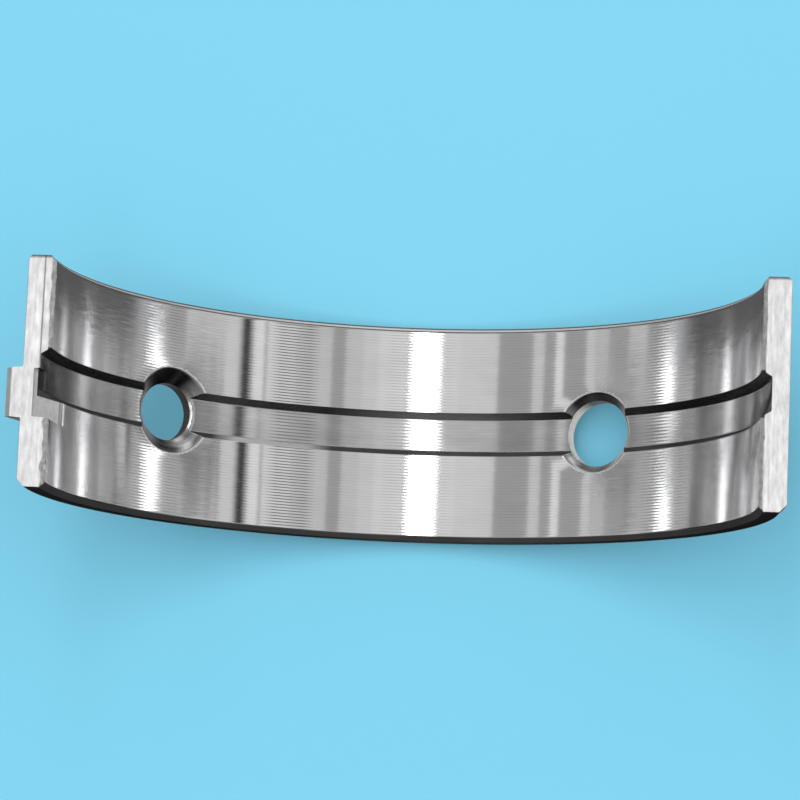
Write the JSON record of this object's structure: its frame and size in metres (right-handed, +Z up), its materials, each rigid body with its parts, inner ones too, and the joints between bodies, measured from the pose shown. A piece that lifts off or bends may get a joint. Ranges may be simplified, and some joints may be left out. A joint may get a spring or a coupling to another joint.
{
  "type": "engine bearing shell",
  "caption": "Half shell of a plain main bearing: thin half ring with an oil groove round its bore, countersunk oil holes and a pressed locating tang; carries a crankshaft journal.",
  "frame": {"origin": "on the bore axis, in the joint plane, at the middle of the width", "axes": "+Y along the bore axis towards the rear rim, +X from the tang's end to the plain end, +Z up out of the joint faces, so the crown is down"},
  "size_m": [0.0664, 0.02, 0.0325],
  "materials": {
    "shell_metal": "fine-bored inside, broached joint faces, satin back"
  },
  "bodies": {
    "root": {"bearing_shell": "shell_metal"}
  },
  "joints": []
}
